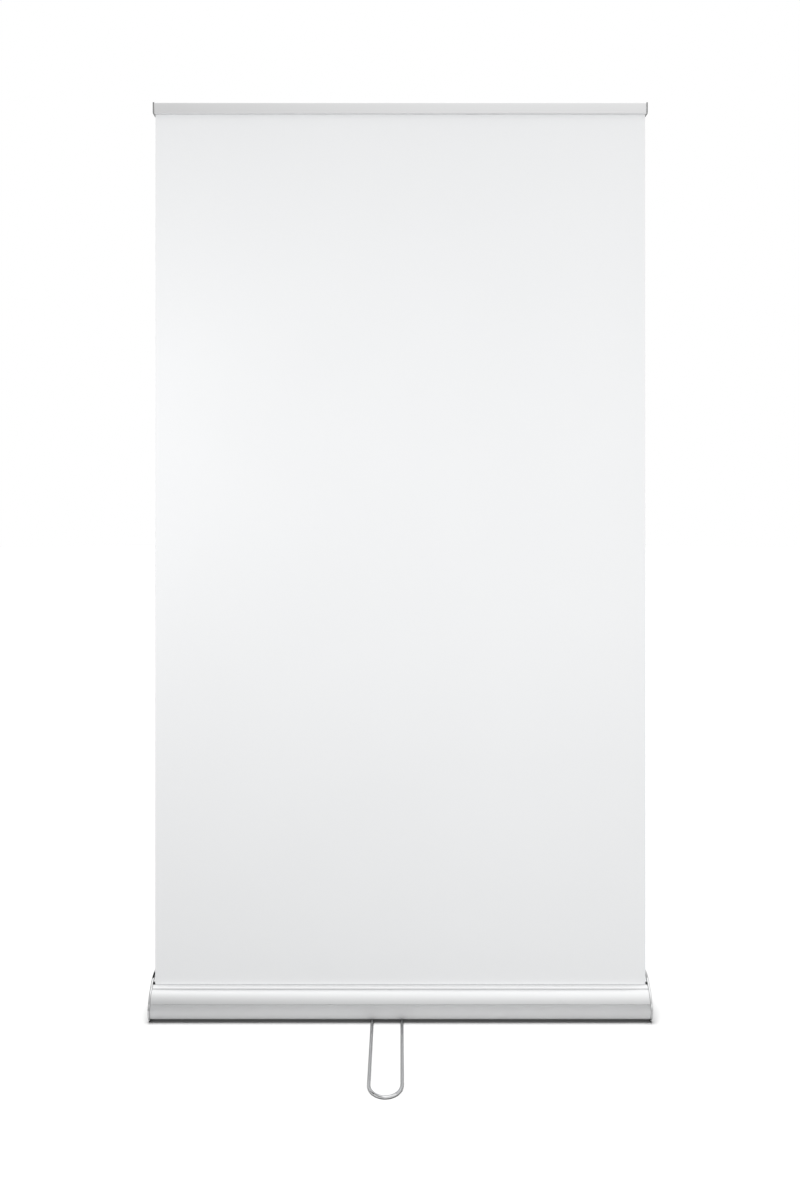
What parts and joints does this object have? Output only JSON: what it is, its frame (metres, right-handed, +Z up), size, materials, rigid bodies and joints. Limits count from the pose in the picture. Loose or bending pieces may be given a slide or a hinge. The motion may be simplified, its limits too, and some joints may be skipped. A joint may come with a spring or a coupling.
{
  "type": "double-sided roll-up banner stand",
  "caption": "Free-standing double-sided roll-up banner: a curved aluminium base with two spring rollers, a telescopic pole, a clamp rail and swivelling wire feet.",
  "frame": {"origin": "on the floor under the middle of the base", "axes": "+Z up along the pole, +X along the base to the right as seen from the front, the front graphic faces -Y"},
  "size_m": [1.22, 0.897, 2.233],
  "materials": {
    "satin_aluminium": "satin anodised, fine lengthwise grain",
    "cover_aluminium": "satin anodised, brighter than the tray",
    "rail_aluminium": "satin anodised",
    "chrome": "polished chrome plate",
    "zinc_steel": "bright zinc plate",
    "spring_steel": "oiled spring wire",
    "grey_plastic": "moulded nylon, fine texture",
    "cap_plastic": "moulded, satin",
    "dark_plastic": "moulded nylon",
    "foot_rubber": "matte",
    "banner_film": "matte off-white printing film, blank"
  },
  "bodies": {
    "base": {"base_tray": "satin_aluminium", "front_cover": "cover_aluminium", "rear_cover": "cover_aluminium", "centre_cover": "cover_aluminium", "end_plate_left": "chrome", "end_plate_right": "chrome", "rubber_foot_front_left": "foot_rubber", "rubber_foot_front_right": "foot_rubber", "rubber_foot_rear_left": "foot_rubber", "rubber_foot_rear_right": "foot_rubber", "end_screw_left_front_low": "zinc_steel", "end_screw_left_rear_low": "zinc_steel", "end_screw_left_front_high": "zinc_steel", "end_screw_left_rear_high": "zinc_steel", "end_screw_left_ridge": "zinc_steel", "end_screw_right_front_low": "zinc_steel", "end_screw_right_rear_low": "zinc_steel", "end_screw_right_front_high": "zinc_steel", "end_screw_right_rear_high": "zinc_steel", "end_screw_right_ridge": "zinc_steel", "front_axle_pin": "zinc_steel", "front_spring_arbor": "zinc_steel", "front_torsion_spring": "spring_steel", "front_pivot_screw": "zinc_steel", "front_banner": "banner_film", "front_banner_feed": "banner_film", "rear_axle_pin": "zinc_steel", "rear_spring_arbor": "zinc_steel", "rear_torsion_spring": "spring_steel", "rear_pivot_screw": "zinc_steel", "rear_banner": "banner_film", "rear_banner_feed": "banner_film", "pole_socket": "grey_plastic", "socket_screw_1": "zinc_steel", "socket_screw_2": "zinc_steel", "pole_lower": "satin_aluminium"},
    "front_roller": {"front_roller_tube": "satin_aluminium", "front_graphic_roll": "banner_film", "front_idler_plug": "grey_plastic", "front_spring_plug": "grey_plastic"},
    "rear_roller": {"rear_roller_tube": "satin_aluminium", "rear_graphic_roll": "banner_film", "rear_idler_plug": "grey_plastic", "rear_spring_plug": "grey_plastic"},
    "front_foot": {"front_foot_wire": "chrome", "front_foot_block": "dark_plastic"},
    "rear_foot": {"rear_foot_wire": "chrome", "rear_foot_block": "dark_plastic"},
    "lower_collar": {"lower_twist_collar": "grey_plastic"},
    "middle_pole": {"pole_middle": "satin_aluminium"},
    "upper_collar": {"upper_twist_collar": "grey_plastic"},
    "rail": {"top_rail": "rail_aluminium", "rail_cap_left": "cap_plastic", "rail_cap_right": "cap_plastic", "front_clamp_channel": "rail_aluminium", "rear_clamp_channel": "rail_aluminium", "pole_upper": "satin_aluminium", "pole_head": "grey_plastic"}
  },
  "joints": [
    {"name": "rail_slide", "type": "slide", "parent": "base", "child": "rail", "axis": [0, 0, 1], "range_m": [-1.2, 0], "deforming": ["front_banner", "rear_banner"]},
    {"name": "middle_pole_slide", "type": "slide", "parent": "base", "child": "middle_pole", "axis": [0, 0, 1], "range_m": [-0.6, 0]},
    {"name": "front_roller_spin", "type": "hinge", "parent": "base", "child": "front_roller", "pos_m": [0, -0.045, 0.042], "axis": [1, 0, 0], "range_deg": [-3221, 0]},
    {"name": "rear_roller_spin", "type": "hinge", "parent": "base", "child": "rear_roller", "pos_m": [0, 0.045, 0.042], "axis": [1, 0, 0], "range_deg": [0, 3221]},
    {"name": "front_foot_swivel", "type": "hinge", "parent": "base", "child": "front_foot", "pos_m": [-0.032, -0.02321, 0.0035], "axis": [0, 0, 1], "range_deg": [-90, 0]},
    {"name": "rear_foot_swivel", "type": "hinge", "parent": "base", "child": "rear_foot", "pos_m": [0.032, 0.02321, 0.0035], "axis": [0, 0, 1], "range_deg": [-90, 0]},
    {"name": "lower_collar_twist", "type": "hinge", "parent": "base", "child": "lower_collar", "pos_m": [0, 0, 0.7862], "axis": [0, 0, 1], "range_deg": [0, 90]},
    {"name": "upper_collar_twist", "type": "hinge", "parent": "middle_pole", "child": "upper_collar", "pos_m": [0, 0, 1.4921], "axis": [0, 0, 1], "range_deg": [0, 90]}
  ],
  "couplings": [
    {"joint": "middle_pole_slide", "follows": "rail_slide", "ratio": 0.5},
    {"joint": "front_roller_spin", "follows": "rail_slide", "rad_per_m": 46.84},
    {"joint": "rear_roller_spin", "follows": "rail_slide", "rad_per_m": -46.84}
  ]
}
